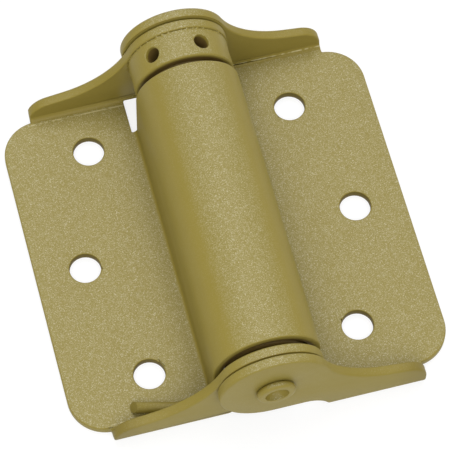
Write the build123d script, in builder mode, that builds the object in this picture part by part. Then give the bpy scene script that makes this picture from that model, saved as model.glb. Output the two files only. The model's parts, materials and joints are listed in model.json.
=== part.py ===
from build123d import *

import math
import os
from typing import NamedTuple

# Spring hinge: two folded sheet leaves, a rolled barrel with a torsion spring inside, a winding collar
# and a rivet pin. It lies on its back with both leaves flat, and all sizes are in millimetres.
# X runs across the leaves, Y along the pin and Z out of the front.

# Sheet and leaves
sheet = 2.0
hinge_width = 76.2
hinge_height = 79.5
corner_radius = 7.6
fold_radius = 1.0
inner_fold_corner = 2.8
outer_fold_corner = 1.5
inner_shoulder_setback = 0.65
outer_shoulder_setback = 1.55
ear_clearance = 0.3

# Screw holes on each leaf: a pair near the barrel, and one further out
screw_hole_radius = 3.15
screw_pair_inset = 9.6
screw_pair_margin = 12.35
screw_outer_inset = 10.1

# Ears
inner_ear_rim = -0.1
outer_ear_rim = 0.3
inner_ear_rise = 2.75
outer_ear_rise = 4.1
ear_end_inset = 7.0
ear_end_radius = 5.0
ear_shoulder_slope = 10.0
ear_hollow_radius = 18.0
ear_foot_gap = 1.1
ear_relief_radius = 5.3
inner_foot_reach = 3.0
foot_cut_angle = 30.0

# Barrel, rolled from the inner leaf
barrel_radius = 10.6
barrel_end_gap = 1.4
barrel_wrap = 280.0

# Rivet pin
pin_radius = 2.75
pin_clearance = 0.05
head_overhang = 1.15
head_height = 1.5
head_edge = 0.9
dimple_rim = 0.55
dimple_depth = 1.3

# Winding collar and its hub
collar_step = 0.35
collar_height = 6.25
collar_edge = 0.3
collar_clearance = 0.15
collar_barrel_gap = 1.5
hub_height = 3.4
hub_clearance = 0.4
rod_hole_radius = 1.6
rod_hole_depth = 4.5
rod_hole_count = 6
rod_hole_turn = 24.0

# Torsion spring: its wire has flat sides and straight runs, which keeps the long coil light
wire_radius = 1.1
wire_sides = 6
turn_runs = 12
coil_clearance = 1.2
coil_gap = 0.2
coil_end_clearance = 0.8
leg_knee_inset = 20.7
leg_end_inset = 12.1
leg_end_margin = 3.4
leg_end_cut = 30.0
leg_clearance = 0.1
leg_notch_clearance = 0.5
tang_bend = 0.4
tang_length = 3.0
tang_clearance = 0.3

# Places that follow from the sizes above
half_width = hinge_width / 2
outer_ear_face = hinge_height / 2 - sheet
inner_ear_face = outer_ear_face - ear_clearance - sheet
fold_top = sheet + fold_radius
outer_ear_radius = barrel_radius + outer_ear_rim
axis_height = fold_top + ear_foot_gap + outer_ear_radius
leaf_inner_x = barrel_radius + fold_radius
outer_foot_x = leaf_inner_x - ear_relief_radius
ear_end_x = half_width - ear_end_inset
screw_pair_x = leaf_inner_x + screw_pair_inset
screw_pair_spacing = 2 * (outer_ear_face - screw_pair_margin)
screw_outer_x = half_width - screw_outer_inset
head_radius = pin_radius + head_overhang
head_base = outer_ear_face + sheet
head_top = head_base + head_height
dimple_radius = head_radius - head_edge - dimple_rim
collar_radius = barrel_radius - collar_step
collar_top = inner_ear_face - collar_clearance
collar_bottom = collar_top - collar_height
barrel_bore = barrel_radius - sheet
barrel_top = collar_bottom - collar_barrel_gap
barrel_bottom = barrel_end_gap - inner_ear_face
hub_radius = barrel_bore - hub_clearance
hub_bottom = collar_bottom - hub_height
coil_radius = barrel_bore - coil_clearance - wire_radius
coil_pitch = 2 * wire_radius + coil_gap
coil_bottom = wire_radius + leg_clearance - inner_ear_face
coil_top = hub_bottom - coil_end_clearance - wire_radius
pin_line = Axis((0, 0, axis_height), (0, 1, 0))


def across(y):
    """Plane square to the pin at y, with local X across the leaves and local Y up."""
    return Plane.XZ.offset(-y)


class Stamping(NamedTuple):
    """Sizes in which one leaf differs from the other."""

    ear_face: float
    shoulder_line: float
    ear_radius: float
    ear_rise: float
    ear_foot_x: float
    fold_corner: float

    @property
    def fold_line(self):
        """Where the flat leaf ends and its fold begins."""
        return self.ear_face - fold_radius

    @property
    def relief_centre(self):
        """Middle of the round relief below the ear's foot."""
        return Vector(self.ear_foot_x, axis_height - self.ear_radius - ear_relief_radius)


inner_stamping = Stamping(
    ear_face=inner_ear_face,
    shoulder_line=inner_ear_face - inner_shoulder_setback,
    ear_radius=barrel_radius + inner_ear_rim,
    ear_rise=inner_ear_rise,
    ear_foot_x=outer_foot_x - inner_foot_reach,
    fold_corner=inner_fold_corner,
)
outer_stamping = Stamping(
    ear_face=outer_ear_face,
    shoulder_line=outer_ear_face - outer_shoulder_setback,
    ear_radius=outer_ear_radius,
    ear_rise=outer_ear_rise,
    ear_foot_x=outer_foot_x,
    fold_corner=outer_fold_corner,
)


def leaf_plate(leaf):
    """Flat leaf on the right-hand side: round outer corners and three plain punched screw holes."""
    ear_width = ear_end_x - leaf_inner_x
    from_barrel = (Align.MIN, Align.CENTER)
    with BuildPart() as plate:
        with BuildSketch() as plan:
            with Locations((leaf_inner_x, 0)):
                Rectangle(half_width - leaf_inner_x, 2 * leaf.shoulder_line, align=from_barrel)
            fillet(plan.vertices().group_by(Axis.X)[-1], corner_radius)
            with Locations((leaf_inner_x, 0)):
                Rectangle(ear_width, 2 * leaf.shoulder_line, align=from_barrel, mode=Mode.SUBTRACT)
                Rectangle(ear_width, 2 * leaf.fold_line, align=from_barrel)
            with Locations((screw_pair_x, 0)), GridLocations(0, screw_pair_spacing, 1, 2):
                Circle(screw_hole_radius, mode=Mode.SUBTRACT)
            with Locations((screw_outer_x, 0)):
                Circle(screw_hole_radius, mode=Mode.SUBTRACT)
        extrude(amount=sheet)
    return plate.part


def ear_fold(leaf):
    """Bend from the leaf up into its upper ear, cut back beside the barrel and relieved below the foot."""
    reach = fold_radius + sheet
    with BuildPart() as fold:
        with BuildSketch(Plane.YZ.offset(leaf.ear_foot_x)) as section:
            with Locations((leaf.fold_line, fold_top)):
                Rectangle(reach, reach, align=(Align.MIN, Align.MAX))
            fillet(section.vertices().group_by(Axis.X)[-1].sort_by(Axis.Y)[0], leaf.fold_corner)
            with Locations((leaf.fold_line, fold_top)):
                Circle(fold_radius, mode=Mode.SUBTRACT)
        extrude(amount=ear_end_x - leaf.ear_foot_x)
        with BuildSketch(Plane.YZ.offset(leaf.ear_foot_x)):
            with Locations((leaf.fold_line, fold_top)):
                Rectangle(2 * reach, 2 * reach, rotation=foot_cut_angle, align=(Align.MAX, Align.MAX))
        extrude(amount=leaf_inner_x - leaf.ear_foot_x, mode=Mode.SUBTRACT)
        with BuildSketch(across(leaf.fold_line)):
            with Locations(leaf.relief_centre):
                Circle(ear_relief_radius)
        extrude(amount=-reach, mode=Mode.SUBTRACT)
    return fold.part


def ear_blade(leaf):
    """Upper ear: a disc round the pin that sweeps down in a hollow curve to a low rounded tip."""
    slope = math.radians(ear_shoulder_slope)
    outward = Vector(math.cos(slope), -math.sin(slope))
    upward = Vector(math.sin(slope), math.cos(slope))
    pin_centre = Vector(0, axis_height)
    tip_foot = Vector(ear_end_x, fold_top)

    # The tip is one round from the sloping shoulder down to the fold
    tip_drop = leaf.ear_rise * math.cos(slope)
    tip_run = math.sqrt(2 * ear_end_radius * tip_drop - tip_drop**2)
    tip_start = tip_foot + upward * tip_drop - outward * tip_run

    # The hollow touches the disc and the shoulder, and ends before the tip
    pin_rise = (pin_centre - tip_start).dot(upward)
    hollow_room = (tip_start - pin_centre).dot(outward)
    widest_hollow = (hollow_room**2 + pin_rise**2 - leaf.ear_radius**2) / (2 * (leaf.ear_radius + pin_rise))
    hollow_radius = min(ear_hollow_radius, widest_hollow)
    hollow_lift = hollow_radius - pin_rise
    hollow_reach = math.sqrt((leaf.ear_radius + hollow_radius) ** 2 - hollow_lift**2)
    hollow_centre = pin_centre + outward * hollow_reach + upward * hollow_lift
    from_pin = (hollow_centre - pin_centre).normalized()
    neck = pin_centre + from_pin * leaf.ear_radius
    shoulder = hollow_centre - upward * hollow_radius

    relief_start = math.degrees(math.asin((fold_top - leaf.relief_centre.Y) / ear_relief_radius))
    with BuildPart() as blade:
        with BuildSketch(across(leaf.ear_face)):
            with BuildLine():
                relief = CenterArc(leaf.relief_centre, ear_relief_radius, relief_start, 90 - relief_start)
                TangentArc(neck, shoulder, tangent=(from_pin.Y, -from_pin.X))
                Line(shoulder, tip_start)
                TangentArc(tip_start, tip_foot, tangent=outward)
                Line(tip_foot, relief @ 0)
                Polyline(relief @ 1, (0, axis_height - leaf.ear_radius), pin_centre, neck)
            make_face()
            with Locations(pin_centre):
                Circle(leaf.ear_radius)
                Circle(pin_radius + pin_clearance, mode=Mode.SUBTRACT)
        extrude(amount=-sheet)
    return blade.part


def folded_leaf(leaf):
    """Leaf on the right-hand side with both of its ears."""
    with BuildPart() as stamped:
        add(leaf_plate(leaf))
        for piece in (ear_fold(leaf), ear_blade(leaf)):
            add(piece)
            mirror(piece, about=Plane.XZ)
    return stamped.part


def coil_bends(start_angle):
    """Bends of the left-hand coil, from its foot up; the angle is measured from straight below the pin."""
    step_count = round((coil_top - coil_bottom) / coil_pitch * turn_runs)
    bends = []
    for step in range(step_count + 1):
        angle = math.radians(start_angle - step * 360 / turn_runs)
        run_x = -coil_radius * math.sin(angle)
        run_y = coil_bottom + (coil_top - coil_bottom) * step / step_count
        run_z = axis_height - coil_radius * math.cos(angle)
        bends.append(Vector(run_x, run_y, run_z))
    return bends


# Spring wire: a leg that lies on the inner leaf, the coil round the pin, and a tang that turns up along it
pin_way = Vector(0, 1, 0)
wire_height = sheet + wire_radius + leg_clearance
leg_end = Vector(leg_end_inset - half_width, leg_end_margin - inner_ear_face, wire_height)
leg_knee = Vector(leg_knee_inset - half_width, coil_bottom, wire_height)
leg_way = (leg_end - leg_knee).normalized()
knee_turn = math.atan2(-leg_knee.X, axis_height - wire_height)
knee_reach = math.hypot(leg_knee.X, axis_height - wire_height)
coil = coil_bends(math.degrees(knee_turn - math.acos(coil_radius / knee_reach)))
tang_lean = ((coil[-1] - coil[-2]).normalized() + pin_way).normalized()
tang_foot = coil[-1] + tang_lean * (wire_radius + tang_bend)
tang_top = Vector(tang_foot.X, hub_bottom + tang_length, tang_foot.Z)
wall_middle_x = (barrel_radius + barrel_bore) / 2
wall_share = (wall_middle_x + coil[0].X) / (coil[0].X - leg_knee.X)
leg_at_wall = coil[0] + (leg_knee - coil[0]) * wall_share

# Inner leaf: nested ears and a barrel that is rolled from the same sheet
with BuildPart() as inner_leaf:
    mirror(folded_leaf(inner_stamping), about=Plane.YZ)
    with BuildSketch(across(barrel_top)):
        with BuildLine():
            inside_bend = CenterArc((-leaf_inner_x, fold_top), fold_radius, -90, 90)
            outside_bend = CenterArc((-leaf_inner_x, fold_top), fold_radius + sheet, -90, 90)
            outer_roll = CenterArc((0, axis_height), barrel_radius, 180, -barrel_wrap)
            inner_roll = CenterArc((0, axis_height), barrel_bore, 180, -barrel_wrap)
            Line(inside_bend @ 0, outside_bend @ 0)
            Line(inside_bend @ 1, outer_roll @ 0)
            Line(outside_bend @ 1, inner_roll @ 0)
            Line(outer_roll @ 1, inner_roll @ 1)
        make_face()
    extrude(amount=barrel_top - barrel_bottom)
    with BuildSketch(Plane.YZ.offset(-leaf_inner_x)):
        with Locations((barrel_bottom, leg_at_wall.Z)):
            notch_depth = leg_at_wall.Y + wire_radius + leg_notch_clearance - barrel_bottom
            Rectangle(2 * notch_depth, 2 * (wire_radius + leg_notch_clearance))
    extrude(amount=leaf_inner_x - barrel_bore + fold_radius, mode=Mode.SUBTRACT)
inner_leaf.part.label = "inner_leaf"

# Outer leaf: its ears close over the inner ones
with BuildPart() as outer_leaf:
    add(folded_leaf(outer_stamping))
outer_leaf.part.label = "outer_leaf"

# Rivet pin with a dimpled head formed over each outer ear
with BuildPart() as hinge_pin:
    dimple_floor = head_top - dimple_depth
    with BuildSketch(Plane.XY.offset(axis_height)):
        with BuildLine():
            Polyline(
                (0, dimple_floor),
                (dimple_radius - dimple_depth, dimple_floor),
                (dimple_radius, head_top),
                (head_radius - head_edge, head_top),
                (head_radius, head_top - head_edge),
                (head_radius, head_base),
                (pin_radius, head_base),
                (pin_radius, 0),
            )
            mirror(about=Plane.XZ)
            Line((0, dimple_floor), (0, -dimple_floor))
        make_face()
    revolve(axis=pin_line)
hinge_pin.part.label = "hinge_pin"

# Winding collar: a drilled ring with a hub that centres in the barrel and holds the spring
with BuildPart() as adjusting_collar:
    with BuildSketch(across(collar_top)):
        with Locations((0, axis_height)):
            Circle(collar_radius)
    extrude(amount=collar_height)
    chamfer(adjusting_collar.edges().filter_by(GeomType.CIRCLE), collar_edge)
    with BuildSketch(across(collar_bottom)):
        with Locations((0, axis_height)):
            Circle(hub_radius)
    extrude(amount=hub_height)
    with BuildSketch(across(collar_top)):
        with Locations((0, axis_height)):
            Circle(pin_radius + pin_clearance)
    extrude(amount=collar_height + hub_height, mode=Mode.SUBTRACT)
    rod_hole_y = (collar_top + collar_bottom) / 2
    for index in range(rod_hole_count):
        turn = math.radians(rod_hole_turn + index * 360 / rod_hole_count)
        outward = Vector(math.sin(turn), 0, math.cos(turn))
        mouth = Vector(0, rod_hole_y, axis_height) + outward * collar_radius
        with BuildSketch(Plane(origin=mouth, x_dir=(0, 1, 0), z_dir=outward)):
            Circle(rod_hole_radius)
        extrude(amount=-rod_hole_depth, mode=Mode.SUBTRACT)
    with BuildSketch(Plane(origin=(tang_top.X, hub_bottom, tang_top.Z), z_dir=(0, 1, 0))):
        Circle(wire_radius + tang_clearance)
    extrude(amount=tang_top.Y - hub_bottom + tang_clearance, mode=Mode.SUBTRACT)
adjusting_collar.part.label = "adjusting_collar"

# Torsion spring: one wire from the sheared tip of its leg to the tang in the collar's hub
with BuildPart() as torsion_spring:
    wire_start = leg_end + leg_way * wire_radius
    with BuildLine() as wire_path:
        Polyline(wire_start, leg_knee, *coil, tang_foot, tang_top)
    with BuildSketch(Plane(origin=wire_start, z_dir=-leg_way)):
        RegularPolygon(wire_radius, wire_sides)
    sweep(path=wire_path.line, transition=Transition.RIGHT)
    cut_lean = math.radians(leg_end_cut)
    cut_way = Vector(-math.cos(cut_lean), 0, math.sin(cut_lean))
    split(bisect_by=Plane(origin=leg_end, z_dir=cut_way), keep=Keep.BOTTOM)
torsion_spring.part.label = "torsion_spring"

os.makedirs("parts", exist_ok=True)
for piece in (inner_leaf, outer_leaf, hinge_pin, adjusting_collar, torsion_spring):
    export_step(piece.part, f"parts/{piece.part.label}.step")
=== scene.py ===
import json
import math
import random
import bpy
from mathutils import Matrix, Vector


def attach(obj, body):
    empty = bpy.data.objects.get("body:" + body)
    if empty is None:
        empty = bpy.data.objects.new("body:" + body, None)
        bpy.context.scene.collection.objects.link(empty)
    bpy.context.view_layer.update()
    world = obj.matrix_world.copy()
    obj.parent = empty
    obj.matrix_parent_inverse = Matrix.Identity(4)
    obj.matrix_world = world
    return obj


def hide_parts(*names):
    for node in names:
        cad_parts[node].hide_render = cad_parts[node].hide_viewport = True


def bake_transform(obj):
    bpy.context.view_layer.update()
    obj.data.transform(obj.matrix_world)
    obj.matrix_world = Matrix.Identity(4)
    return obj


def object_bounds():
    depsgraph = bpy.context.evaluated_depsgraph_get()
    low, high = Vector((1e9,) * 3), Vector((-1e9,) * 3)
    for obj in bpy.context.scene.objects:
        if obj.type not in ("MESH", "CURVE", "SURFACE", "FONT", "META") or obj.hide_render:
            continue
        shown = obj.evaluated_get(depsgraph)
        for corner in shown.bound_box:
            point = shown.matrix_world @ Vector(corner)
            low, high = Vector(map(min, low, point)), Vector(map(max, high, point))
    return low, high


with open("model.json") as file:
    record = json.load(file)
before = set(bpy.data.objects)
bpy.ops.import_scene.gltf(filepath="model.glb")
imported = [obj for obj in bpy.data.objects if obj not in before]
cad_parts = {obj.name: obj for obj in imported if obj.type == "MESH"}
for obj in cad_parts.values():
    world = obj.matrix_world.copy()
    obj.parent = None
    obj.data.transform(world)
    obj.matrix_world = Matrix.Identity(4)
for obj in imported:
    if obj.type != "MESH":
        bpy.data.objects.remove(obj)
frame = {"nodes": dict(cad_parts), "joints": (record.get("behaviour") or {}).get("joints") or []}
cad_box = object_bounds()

from types import SimpleNamespace

import bpy
from mathutils import Matrix, Vector

# Lengths are in metres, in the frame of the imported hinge:
# X across the leaves, Y along the pin, Z out of the front
MM = 0.001
PIN = Vector(frame["joints"][0]["pos_m"])

# Photograph's view
VIEW_PIXELS = 450
FOCAL_PIXELS = 2733
SENSOR = 36
CAMERA_PLACE = Vector((-67.98, -231.62, 493.89)) * MM
CAMERA_RIGHT = Vector((0.96674, -0.25533, 0.01495))
CAMERA_UP = Vector((0.22236, 0.86793, 0.44414))
CAMERA_BACK = Vector((-0.12638, -0.42604, 0.89583))

# Floor, lights and backdrop
FLOOR_HALF = 3
FLOOR_GAP = 0.1 * MM
FLOOR_WHITE = (0.8, 0.8, 0.8)
FLOOR_SEEN = (0.25, 0.25, 0.25)
FLOOR_GLOW = 0.8
FLOOR_ROUGHNESS = 0.9
WORLD_STRENGTH = 0.43
KEY_PLACE = (0.08, 0.32, 0.73)
KEY_SIZE = 0.8
KEY_POWER = 3.1
FILL_PLACE = (-0.10, -0.48, 0.65)
FILL_SIZE = 0.7
FILL_POWER = 3.4

# Stamped sheet: each ear stands on a fold, with its seat toward the barrel
SHEET = 2.0 * MM
INNER_SEAT = 35.45 * MM
OUTER_SEAT = 37.75 * MM
FOLD_RADIUS = 1.0 * MM
FOLD_MIDDLE = FOLD_RADIUS * (1 - math.sqrt(0.5))
EAR_END = 31.1 * MM
EAR_COVER = 10.5 * MM

# Rounding of the painted edges
SHEET_EDGE = 0.35 * MM
COLLAR_EDGE = 0.12 * MM
EDGE_ANGLE = math.radians(30)
EDGE_STEPS = 4
FLAT_ANGLE = math.radians(0.5)
WELD_DISTANCE = 0.1 * MM
JOIN_DISTANCE = 0.001 * MM

# Softer rim on the outer side of an ear
RIM_EDGE = 0.8 * MM
SEAT_EDGE = 0.1 * MM
RIM_START = 0.4 * SHEET
RIM_FULL = 0.8 * SHEET
RIM_RAMP = 4.0 * MM
RIM_SAMPLES = 6

# Paint colours, as linear red, green and blue
# SIDE: the paint's own colour on faces turned sideways
SIDE_DARK = (0.268, 0.206, 0.026)
SIDE_LIGHT = (0.290, 0.226, 0.036)
# FRONT: a paler, greyer copy, painted sheen on faces turned front or to the ends
FRONT_SHEEN_DARK = (0.254, 0.206, 0.047)
FRONT_SHEEN_LIGHT = (0.286, 0.234, 0.065)
# Flecks of metal flake, brightened as painted glints
FLAKE_GLINT_COLOUR = (0.45, 0.405, 0.225)
# Painted highlight along the folds
FOLD_HIGHLIGHT_COLOUR = (0.54, 0.48, 0.25)
# Darker colour for the ears' arms, and painted shade at the lower tips and on the screw holes' walls
DARKENING_COLOUR = (0.10, 0.07, 0.014)
# Painted shade in the seam between the ears
SEAM_SHADE_COLOUR = (0.08, 0.05, 0.004)
# Painted shade inside the barrel and collar
INSIDE_SHADE_COLOUR = (0.135, 0.088, 0.022)

# Grain of the paint, with each noise as its scale and its detail
FLAKE_SCALE = 8000
FLAKE_CONTRAST = 5.0
SIDE_FLAKE = 0.12
PATCH_NOISE = (240, 4)
GRAIN_NOISE = (900, 3)
BUMP_NOISE = (2600, 2)
BUMP_STRENGTH = 0.1
BUMP_DEPTH = 0.05 * MM
ROUGHNESS = 0.5
SHINE = (0.3, 0.9)

# Ranges of the normal's share along Z or Y over which the colour changes with facing: painted sheen, glints
# and shade, and darker arms
FLAKE_FACING = (0.70, 0.97)
RIM_FACING = (0.5, 0.9)
WALL_FACING = (0.25, 0.7)
END_FACING = (0.70, 0.95)
END_PALE = 0.4
END_FLAT = 0.8 * END_PALE

# Painted highlight in a broken line along each fold, where the bend catches the light
CREASE_BACK = 0.4 * MM
CREASE_WIDTH = (0.04 * MM, 0.2 * MM)
CREASE_BREAK = (0.36, 0.60)

# Ears' arms darker and with fewer flecks; painted shade toward the lower ears' tips and on the screw holes'
# walls
FOLD_BLEND = 0.2 * MM
ARM_FLAKE_CUT = 0.75
ARM_DULL = 0.12
TIP_START = 23.0 * MM
TIP_DARK = 0.3
HOLE_FIELD_X = 32.0 * MM
HOLE_FIELD_Y = 30.0 * MM
HOLE_DARK = 0.7

# Painted shade on the seam between the two leaves' ears
SEAM_MIDDLE = (INNER_SEAT + SHEET + OUTER_SEAT) / 2
SEAM_WIDTH = (0.15 * MM, 0.35 * MM)
SEAM_DARK = 0.75

# Painted shade inside the barrel and collar
INSIDE_RADIUS = 9.2 * MM
INSIDE_SHADE_EDGE = 9.8 * MM
INSIDE_SHADE_END = 35.4 * MM

# Paint that bridges the seam between collar and ear
BRIDGE_FOOT = 34.8 * MM
BRIDGE_EDGE = 35.26 * MM
BRIDGE_TOP = 35.42 * MM
BRIDGE_RADIUS = 10.245 * MM
BRIDGE_INNER = 9.7 * MM
BRIDGE_LIP = [(10.47 * MM, 35.4 * MM), (10.47 * MM, 35.43 * MM), (10.17 * MM, 35.42 * MM)]
BRIDGE_CRACK = 0.5 * MM
BRIDGE_STEPS = 360
BRIDGE_RUN = (1, 3)
CRACK_RUN = (2, 5)
BRIDGE_SEED = 7

# Rivet pin, with the end of its ring's arc in degrees
RIVET_STEPS = 64
SHANK_RADIUS = 2.75 * MM
HEAD_TOP = 41.25 * MM
HEAD_RADIUS = 3.85 * MM
HEAD_ROUND = 0.75 * MM
HEAD_TUCK = -80
BOWL_RADIUS = 2.35 * MM
BOWL_DEPTH = 2.2 * MM
BOWL_ROUND = 0.1 * MM
ARC_STEPS = 10

# Spring wire
WIRE_RADIUS = 1.1 * MM
# Fewer flecks on the wire, and its sides darkened as painted shade
WIRE_FLAKE = 0.3
WIRE_SHADE = 0.8
WIRE_SIDES = 16
COIL_RADIUS = 6.3 * MM
FOOT_SPREAD = 1.0 * MM
FOOT_TURNS = 1.25
COIL_PITCH = 2.4 * MM
COIL_BOTTOM = -34.25 * MM
COIL_TOP = 23.75 * MM
TURN_STEPS = 48
LEAN_STEPS = 4
LEG_END = Vector((-26.0, -32.05, 3.2)) * MM
LEG_KNEE = Vector((-17.4, -34.25, 3.2)) * MM
LEG_CUT = math.radians(30)
TANG_LEAN = 1.5 * MM
TANG_TOP = 28.65 * MM
KNEE_BEND = 1.6 * MM
TANG_BEND = 1.0 * MM
BEND_STEPS = 8


def new_object(name, mesh):
    piece = bpy.data.objects.new(name, mesh)
    bpy.context.scene.collection.objects.link(piece)
    return piece


# Shader nodes

def sums(tree, operation, *terms):
    """One math node. Each term is a number or the output of another node."""
    node = tree.nodes.new("ShaderNodeMath")
    node.operation = operation
    for socket, term in zip(node.inputs, terms):
        if isinstance(term, (int, float)):
            socket.default_value = term
        else:
            tree.links.new(term, socket)
    return node.outputs["Value"]


def times(tree, *terms):
    """Product of two or more terms."""
    product = terms[0]
    for term in terms[1:]:
        product = sums(tree, "MULTIPLY", product, term)
    return product


def hypotenuse(tree, across, up):
    squares = sums(tree, "ADD", times(tree, across, across), times(tree, up, up))
    return sums(tree, "SQRT", squares)


def split(tree, vector):
    """Outputs X, Y and Z of a vector."""
    node = tree.nodes.new("ShaderNodeSeparateXYZ")
    tree.links.new(vector, node.inputs["Vector"])
    return node.outputs


def ramp(tree, value, start, end, low, high):
    """Smooth step from low at start to high at end."""
    node = tree.nodes.new("ShaderNodeMapRange")
    node.interpolation_type = "SMOOTHSTEP"
    node.inputs["From Min"].default_value = start
    node.inputs["From Max"].default_value = end
    node.inputs["To Min"].default_value = low
    node.inputs["To Max"].default_value = high
    tree.links.new(value, node.inputs["Value"])
    return node.outputs["Result"]


def mix(tree, share, first, second):
    """Mix of two colours. Each is a colour or the output of another node."""
    node = tree.nodes.new("ShaderNodeMix")
    node.data_type = "RGBA"
    tree.links.new(share, node.inputs["Factor"])
    for socket, colour in ((node.inputs["A"], first), (node.inputs["B"], second)):
        if isinstance(colour, tuple):
            socket.default_value = (*colour, 1)
        else:
            tree.links.new(colour, socket)
    return node.outputs["Result"]


def noise(tree, vector, scale, detail):
    node = tree.nodes.new("ShaderNodeTexNoise")
    node.inputs["Scale"].default_value = scale
    node.inputs["Detail"].default_value = detail
    tree.links.new(vector, node.inputs["Vector"])
    return node.outputs["Fac"]


# Paint

def surface(tree):
    """Where a painted spot lies and how far it faces along Z (front) and Y (end)."""
    coordinates = tree.nodes.new("ShaderNodeTexCoord")
    spot = coordinates.outputs["Object"]
    place = split(tree, spot)
    facing = split(tree, coordinates.outputs["Normal"])
    return SimpleNamespace(
        spot=spot,
        x=place["X"],
        y=place["Y"],
        z=place["Z"],
        far_x=sums(tree, "ABSOLUTE", place["X"]),
        far_y=sums(tree, "ABSOLUTE", place["Y"]),
        front=sums(tree, "ABSOLUTE", facing["Z"]),
        end=sums(tree, "ABSOLUTE", facing["Y"]))


def flake_cells(tree, spot):
    """Random number for each fine cell of the paint."""
    cells = tree.nodes.new("ShaderNodeTexVoronoi")
    cells.inputs["Scale"].default_value = FLAKE_SCALE
    tree.links.new(spot, cells.inputs["Vector"])
    pick = tree.nodes.new("ShaderNodeSeparateColor")
    tree.links.new(cells.outputs["Color"], pick.inputs["Color"])
    return pick.outputs["Red"]


def ear_arm(tree, at, seat):
    """Share that is 1 on the arm of an ear, past its fold and outside its disc."""
    fold_line = seat - FOLD_RADIUS
    past_fold = ramp(tree, at.far_y, fold_line - FOLD_BLEND, fold_line + FOLD_BLEND, 0.0, 1.0)
    before_end = sums(tree, "LESS_THAN", at.far_x, EAR_END)
    past_disc = ramp(tree, at.far_x, INSIDE_RADIUS, EAR_COVER + SHEET, 0.0, 1.0)
    return times(tree, past_fold, before_end, past_disc)


def crease_highlight(tree, at, crease_y, crease_z):
    """Share that is 1 on a broken line along a fold: a painted highlight where the bend catches the light."""
    off_y = sums(tree, "SUBTRACT", at.far_y, crease_y)
    off_z = sums(tree, "SUBTRACT", at.z, crease_z)
    line = ramp(tree, hypotenuse(tree, off_y, off_z), *CREASE_WIDTH, 1.0, 0.0)
    broken = ramp(tree, noise(tree, at.spot, *GRAIN_NOISE), *CREASE_BREAK, 0.0, 1.0)
    along = sums(tree, "LESS_THAN", at.far_x, EAR_END)
    return times(tree, line, broken, along)


def lower_tip_shade(tree, at, seat):
    """Share of painted shade that grows toward the tips of the lower ear."""
    lower = sums(tree, "LESS_THAN", at.y, -seat)
    return times(tree, lower, ramp(tree, at.far_x, TIP_START, EAR_END, 0.0, TIP_DARK))


def hole_wall_shade(tree, at):
    """Share of painted shade on the walls of the screw holes: what faces sideways in the sheet, away from its
    outer edge.
    """
    in_field_x = sums(tree, "LESS_THAN", at.far_x, HOLE_FIELD_X)
    in_field_y = sums(tree, "LESS_THAN", at.far_y, HOLE_FIELD_Y)
    in_sheet = sums(tree, "LESS_THAN", at.z, SHEET)
    sideways = ramp(tree, at.front, *WALL_FACING, HOLE_DARK, 0.0)
    return times(tree, in_field_x, in_field_y, in_sheet, sideways)


def ear_seam_shade(tree, at, end_face):
    """Share of painted shade on the seam between the ears' discs, on their rims and not on their flat faces.
    """
    off_seam = sums(tree, "ABSOLUTE", sums(tree, "SUBTRACT", at.far_y, SEAM_MIDDLE))
    near_seam = ramp(tree, off_seam, *SEAM_WIDTH, SEAM_DARK, 0.0)
    on_disc = ramp(tree, at.far_x, INSIDE_RADIUS, EAR_COVER, 1.0, 0.0)
    on_rim = ramp(tree, end_face, END_FLAT, END_PALE, 1.0, 0.0)
    return times(tree, near_seam, on_disc, on_rim)


def inside_shade(tree, at):
    """Share of painted shade that is 1 inside the barrel and collar."""
    rise = sums(tree, "SUBTRACT", at.z, PIN.z)
    hollow = ramp(tree, hypotenuse(tree, at.x, rise), INSIDE_RADIUS, INSIDE_SHADE_EDGE, 1.0, 0.0)
    return times(tree, hollow, sums(tree, "LESS_THAN", at.far_y, INSIDE_SHADE_END))


def soft_rim(tree, at, seat, cover):
    """Normal that softens the outer rim of an ear, from a covered half-width outward."""
    outside = ramp(tree, at.far_y, seat + RIM_START, seat + RIM_FULL, 0.0, 1.0)
    open_rim = ramp(tree, at.far_x, cover, cover + RIM_RAMP, 0.0, 1.0)
    width = times(tree, outside, open_rim, RIM_EDGE - SEAT_EDGE)
    soft = tree.nodes.new("ShaderNodeBevel")
    soft.samples = RIM_SAMPLES
    tree.links.new(sums(tree, "ADD", width, SEAT_EDGE), soft.inputs["Radius"])
    return soft.outputs["Normal"]


def shaded(colour, shade):
    return tuple(shade * part for part in colour)


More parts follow.
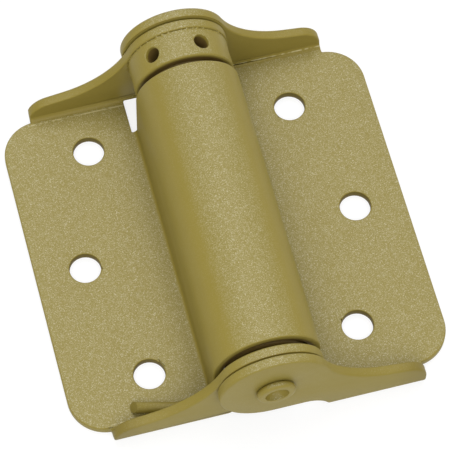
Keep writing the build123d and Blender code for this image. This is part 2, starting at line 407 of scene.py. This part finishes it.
def flake_paint(name, flake=1.0, shade=1.0, crease=None, rim=None):
    """Satin gold paint with fine metal flake. What faces front or back has painted glints, and it and the end
    faces have a paler, greyer painted sheen; shade darkens the rest. Shade is painted on the screw holes'
    walls and inside the barrel and collar. A crease gives the Y and Z of a painted highlight line along a
    fold. A rim gives the seat of a leaf's ears and the half-width that another ear covers: those ears have
    darker arms with fewer flecks, painted shade toward the lower tips and at the seam, and a soft rim."""
    paint = bpy.data.materials.new(name)
    paint.use_nodes = True
    tree = paint.node_tree
    shader = tree.nodes["Principled BSDF"]
    at = surface(tree)

    # Flake dense on faces turned front and sparse on the sides: real flake, with painted glints where the
    # light falls
    density = ramp(tree, at.front, *FLAKE_FACING, SIDE_FLAKE, flake)
    if rim:
        seat, cover = rim
        arm = ear_arm(tree, at, seat)
        # Fewer flecks on the ears' arms
        density = times(tree, density, sums(tree, "SUBTRACT", 1.0, times(tree, arm, ARM_FLAKE_CUT)))
    fleck = times(tree, sums(tree, "POWER", flake_cells(tree, at.spot), FLAKE_CONTRAST), density)

    patches = noise(tree, at.spot, *PATCH_NOISE)
    side = mix(tree, patches, shaded(SIDE_DARK, shade), shaded(SIDE_LIGHT, shade))
    # Paler, greyer colour on faces turned front or to the ends: painted sheen
    front = mix(tree, noise(tree, at.spot, *GRAIN_NOISE), FRONT_SHEEN_DARK, FRONT_SHEEN_LIGHT)
    end_face = ramp(tree, at.end, *END_FACING, 0.0, END_PALE)
    ground = mix(tree, sums(tree, "MAXIMUM", density, end_face), side, front)
    colour = mix(tree, fleck, ground, FLAKE_GLINT_COLOUR)
    # Painted highlight along the fold
    if crease:
        colour = mix(tree, crease_highlight(tree, at, *crease), colour, FOLD_HIGHLIGHT_COLOUR)
    if rim:
        # Ears' arms darker where they face front
        dull = times(tree, arm, ramp(tree, at.front, *RIM_FACING, 0.0, ARM_DULL))
        colour = mix(tree, dull, colour, DARKENING_COLOUR)
        # Painted shade toward the lower ears' tips
        colour = mix(tree, lower_tip_shade(tree, at, seat), colour, DARKENING_COLOUR)
    # Painted shade on the screw holes' walls, with less shine there
    dark = hole_wall_shade(tree, at)
    colour = mix(tree, dark, colour, DARKENING_COLOUR)
    if rim:
        # Painted shade in the seam between the ears
        seam = ear_seam_shade(tree, at, end_face)
        colour = mix(tree, seam, colour, SEAM_SHADE_COLOUR)
        dark = sums(tree, "MAXIMUM", dark, seam)
    # Painted shade inside the barrel and collar
    colour = mix(tree, inside_shade(tree, at), colour, INSIDE_SHADE_COLOUR)
    tree.links.new(colour, shader.inputs["Base Color"])

    shine = times(tree, ramp(tree, fleck, 0.0, 1.0, *SHINE), sums(tree, "SUBTRACT", 1.0, dark))
    tree.links.new(shine, shader.inputs["Specular IOR Level"])
    shader.inputs["Roughness"].default_value = ROUGHNESS
    bump = tree.nodes.new("ShaderNodeBump")
    bump.inputs["Strength"].default_value = BUMP_STRENGTH
    bump.inputs["Distance"].default_value = BUMP_DEPTH
    tree.links.new(noise(tree, at.spot, *BUMP_NOISE), bump.inputs["Height"])
    if rim:
        tree.links.new(soft_rim(tree, at, seat, cover), bump.inputs["Normal"])
    tree.links.new(bump.outputs["Normal"], shader.inputs["Normal"])
    return paint


gold_paint = flake_paint("gold_flake_paint")
wire_paint = flake_paint("wire_paint", flake=WIRE_FLAKE, shade=WIRE_SHADE)
inner_crease_highlight = (INNER_SEAT - FOLD_RADIUS - CREASE_BACK, SHEET)
outer_crease_highlight = (OUTER_SEAT - FOLD_MIDDLE, SHEET + FOLD_MIDDLE)
inner_paint = flake_paint("inner_leaf_paint", crease=inner_crease_highlight, rim=(INNER_SEAT, EAR_COVER))
outer_paint = flake_paint("outer_leaf_paint", crease=outer_crease_highlight, rim=(OUTER_SEAT, -RIM_RAMP))


# Sheet leaves and collar

def soften(node, paint, width):
    """Paints a solid and rounds its sharp edges."""
    piece = frame["nodes"][node]
    piece.data.materials.clear()
    piece.data.materials.append(paint)
    for face in piece.data.polygons:
        face.use_smooth = True
    weld = piece.modifiers.new("weld", "WELD")
    weld.merge_threshold = WELD_DISTANCE
    flatten = piece.modifiers.new("flatten", "DECIMATE")
    flatten.decimate_type = "DISSOLVE"
    flatten.angle_limit = FLAT_ANGLE
    edge = piece.modifiers.new("edge", "BEVEL")
    edge.width = width
    edge.segments = EDGE_STEPS
    edge.limit_method = "ANGLE"
    edge.angle_limit = EDGE_ANGLE
    edge.use_clamp_overlap = False
    edge.harden_normals = True


soften("inner_leaf", inner_paint, SHEET_EDGE)
soften("outer_leaf", outer_paint, SHEET_EDGE)
soften("adjusting_collar", gold_paint, COLLAR_EDGE)


# Rivet pin

def arc(middle, radius, start, end):
    """Points on an arc of a profile, as distance from the axis and height."""
    points = []
    for step in range(ARC_STEPS + 1):
        angle = math.radians(start + (end - start) * step / ARC_STEPS)
        points.append((middle[0] + radius * math.cos(angle), middle[1] + radius * math.sin(angle)))
    return points


def rivet_profile():
    """Half of the rivet, from the middle of the bowl over the rounded ring to the shank."""
    ball = (BOWL_RADIUS ** 2 + BOWL_DEPTH ** 2) / (2 * BOWL_DEPTH)
    slope = math.degrees(math.asin(BOWL_RADIUS / ball))
    bowl = arc((0, HEAD_TOP - BOWL_DEPTH + ball), ball, -90, slope - 90)
    lip = arc((BOWL_RADIUS + BOWL_ROUND, HEAD_TOP - BOWL_ROUND), BOWL_ROUND, 90 + slope, 90)
    ring = arc((HEAD_RADIUS - HEAD_ROUND, HEAD_TOP - HEAD_ROUND), HEAD_ROUND, 90, HEAD_TUCK)
    return [*bowl[:-1], *lip, *ring, (SHANK_RADIUS, ring[-1][1])]


def turned_piece(name, profiles, body):
    """Form turned round the pin axis, with one profile for each step of the turn."""
    steps = len(profiles)
    rows = len(profiles[0])
    vertices = []
    faces = []
    for step, profile in enumerate(profiles):
        angle = step * math.tau / steps
        for distance, height in profile:
            vertices.append((distance * math.sin(angle), height, PIN.z + distance * math.cos(angle)))
        following = (step + 1) % steps
        for row in range(rows - 1):
            here = step * rows + row
            there = following * rows + row
            faces.append((here, there, there + 1, here + 1))
    mesh = bpy.data.meshes.new(name)
    mesh.from_pydata(vertices, [], faces)
    mesh.materials.append(gold_paint)
    for face in mesh.polygons:
        face.use_smooth = True
    piece = new_object(name, mesh)
    join = piece.modifiers.new("join", "WELD")
    join.merge_threshold = JOIN_DISTANCE
    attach(piece, body)
    return piece


upper_half = rivet_profile()
lower_half = [(distance, -height) for distance, height in reversed(upper_half)]
rivet = turned_piece("riveted_pin", [upper_half + lower_half] * RIVET_STEPS, "swinging_leaf")
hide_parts("hinge_pin")


# Paint over the collar's seam

def bridge_profiles():
    """Profiles of a ring of paint beside the collar, with cracks of random length."""
    pick = random.Random(BRIDGE_SEED)
    cracked_lip = [(BRIDGE_RADIUS - BRIDGE_CRACK, BRIDGE_TOP)] * len(BRIDGE_LIP)
    profiles = []
    cracked = False
    while len(profiles) < BRIDGE_STEPS:
        cracked = not cracked
        lip = cracked_lip if cracked else BRIDGE_LIP
        profile = [(BRIDGE_INNER, BRIDGE_FOOT), (BRIDGE_RADIUS, BRIDGE_FOOT), (BRIDGE_RADIUS, BRIDGE_EDGE),
                   *lip, (BRIDGE_INNER, BRIDGE_TOP), (BRIDGE_INNER, BRIDGE_FOOT)]
        run = CRACK_RUN if cracked else BRIDGE_RUN
        profiles += [profile] * pick.randint(*run)
    return profiles[:BRIDGE_STEPS]


turned_piece("seam_paint", bridge_profiles(), "collar")


# Torsion spring

def corner(before, point, after, length):
    """Points that round off a corner of the wire."""
    start = point + (before - point).normalized() * length
    end = point + (after - point).normalized() * length
    bend = []
    for step in range(BEND_STEPS + 1):
        share = step / BEND_STEPS
        bend.append(start.lerp(point, share).lerp(point.lerp(end, share), share))
    return bend


def spring_route():
    """Middle line of the wire: leg on the inner leaf, left-hand coil round the pin, tang up along it.
    The coil swells over its first turns."""
    rise = PIN.z - LEG_KNEE.z
    reach = math.hypot(LEG_KNEE.x, rise)
    start = math.atan2(-LEG_KNEE.x, rise) - math.acos(COIL_RADIUS / reach)
    turns = (COIL_TOP - COIL_BOTTOM) / COIL_PITCH
    steps = round(turns * TURN_STEPS)
    coil = []
    for step in range(steps + 1):
        angle = start - step * math.tau / TURN_STEPS
        height = COIL_BOTTOM + (COIL_TOP - COIL_BOTTOM) * step / steps
        swell = math.sin(math.pi * min(1, step / (FOOT_TURNS * TURN_STEPS)))
        radius = COIL_RADIUS + FOOT_SPREAD * swell
        coil.append(Vector((-radius * math.sin(angle), height, PIN.z - radius * math.cos(angle))))
    knee = corner(LEG_END, LEG_KNEE, coil[0], KNEE_BEND)
    lean = (coil[-1] - coil[-1 - LEAN_STEPS]).normalized() + Vector((0, 1, 0))
    tang_foot = coil[-1] + lean.normalized() * TANG_LEAN
    tang_top = Vector((tang_foot.x, TANG_TOP, tang_foot.z))
    return [LEG_END, *knee, *coil, *corner(coil[-1], tang_foot, tang_top, TANG_BEND), tang_top]


def wire_mesh(name, route, radius):
    """Round wire along a route, with a sheared first end and a flat last one."""
    vertices = []
    faces = []
    side = Vector((0, 0, 1))
    for index, point in enumerate(route):
        before = route[max(index - 1, 0)]
        after = route[min(index + 1, len(route) - 1)]
        way = (after - before).normalized()
        side = (side - way * side.dot(way)).normalized()
        across = way.cross(side)
        for turn in range(WIRE_SIDES):
            angle = turn * math.tau / WIRE_SIDES
            vertices.append(point + (side * math.cos(angle) + across * math.sin(angle)) * radius)
    end_way = (route[0] - route[1]).normalized()
    cut = Vector((-math.cos(LEG_CUT), 0, math.sin(LEG_CUT)))
    for turn in range(WIRE_SIDES):
        vertices[turn] -= end_way * (vertices[turn] - route[0]).dot(cut) / end_way.dot(cut)
    for index in range(len(route) - 1):
        for turn in range(WIRE_SIDES):
            here = index * WIRE_SIDES + turn
            beside = index * WIRE_SIDES + (turn + 1) % WIRE_SIDES
            faces.append((here, beside, beside + WIRE_SIDES, here + WIRE_SIDES))
    last = (len(route) - 1) * WIRE_SIDES
    faces.append(tuple(reversed(range(WIRE_SIDES))))
    faces.append(tuple(range(last, last + WIRE_SIDES)))
    mesh = bpy.data.meshes.new(name)
    mesh.from_pydata(vertices, [], faces)
    for face in mesh.polygons:
        face.use_smooth = len(face.vertices) == 4
    mesh.materials.append(wire_paint)
    return mesh


spring = new_object("round_wire_spring", wire_mesh("round_wire_spring", spring_route(), WIRE_RADIUS))
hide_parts("torsion_spring")
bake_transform(spring)


# Floor, light and camera

def seen_rays(tree):
    """1 where the camera looks, straight or by a mirror or glass, and 0 for other light."""
    rays = tree.nodes.new("ShaderNodeLightPath")
    seen = sums(tree, "MAXIMUM", rays.outputs["Is Camera Ray"], rays.outputs["Is Glossy Ray"])
    return sums(tree, "MAXIMUM", seen, rays.outputs["Is Transmission Ray"])


def floor_paint():
    """White that lights the part from below. What is seen of it is a faint shadow on a white glow."""
    white = bpy.data.materials.new("floor_white")
    white.use_nodes = True
    tree = white.node_tree
    shader = tree.nodes["Principled BSDF"]
    shader.inputs["Roughness"].default_value = FLOOR_ROUGHNESS
    shader.inputs["Specular IOR Level"].default_value = 0.0
    seen = seen_rays(tree)
    tree.links.new(mix(tree, seen, FLOOR_WHITE, FLOOR_SEEN), shader.inputs["Base Color"])
    glow = tree.nodes.new("ShaderNodeEmission")
    tree.links.new(times(tree, seen, FLOOR_GLOW), glow.inputs["Strength"])
    both = tree.nodes.new("ShaderNodeAddShader")
    tree.links.new(shader.outputs["BSDF"], both.inputs[0])
    tree.links.new(glow.outputs["Emission"], both.inputs[1])
    tree.links.new(both.outputs["Shader"], tree.nodes["Material Output"].inputs["Surface"])
    return white


def pale_floor():
    mesh = bpy.data.meshes.new("floor")
    height = cad_box[0][2] - FLOOR_GAP
    sides = [(-1, -1), (1, -1), (1, 1), (-1, 1)]
    corners = [(FLOOR_HALF * across, FLOOR_HALF * along, height) for across, along in sides]
    mesh.from_pydata(corners, [], [(0, 1, 2, 3)])
    mesh.materials.append(floor_paint())
    new_object("floor", mesh)


def soft_light(name, place, size, power):
    lamp = bpy.data.lights.new(name, "AREA")
    lamp.shape = "DISK"
    lamp.size = size
    lamp.energy = power
    light = new_object(name, lamp)
    light.location = place
    light.rotation_euler = (-Vector(place)).to_track_quat("-Z", "Y").to_euler()


def white_world():
    """Soft light from all round, with a white backdrop."""
    world = bpy.data.worlds.new("studio")
    bpy.context.scene.world = world
    world.use_nodes = True
    tree = world.node_tree
    backdrop = tree.nodes["Background"]
    backdrop.inputs["Color"].default_value = (1, 1, 1, 1)
    more = times(tree, seen_rays(tree), 1 - WORLD_STRENGTH)
    tree.links.new(sums(tree, "ADD", more, WORLD_STRENGTH), backdrop.inputs["Strength"])


def photo_camera():
    data = bpy.data.cameras.new("camera")
    data.sensor_width = SENSOR
    data.lens = SENSOR * FOCAL_PIXELS / VIEW_PIXELS
    camera = new_object("camera", data)
    camera.location = CAMERA_PLACE
    camera.rotation_euler = Matrix((CAMERA_RIGHT, CAMERA_UP, CAMERA_BACK)).transposed().to_euler()
    bpy.context.scene.camera = camera


pale_floor()
white_world()
soft_light("key", KEY_PLACE, KEY_SIZE, KEY_POWER)
soft_light("fill", FILL_PLACE, FILL_SIZE, FILL_POWER)
photo_camera()
bpy.context.scene.view_settings.view_transform = "Standard"
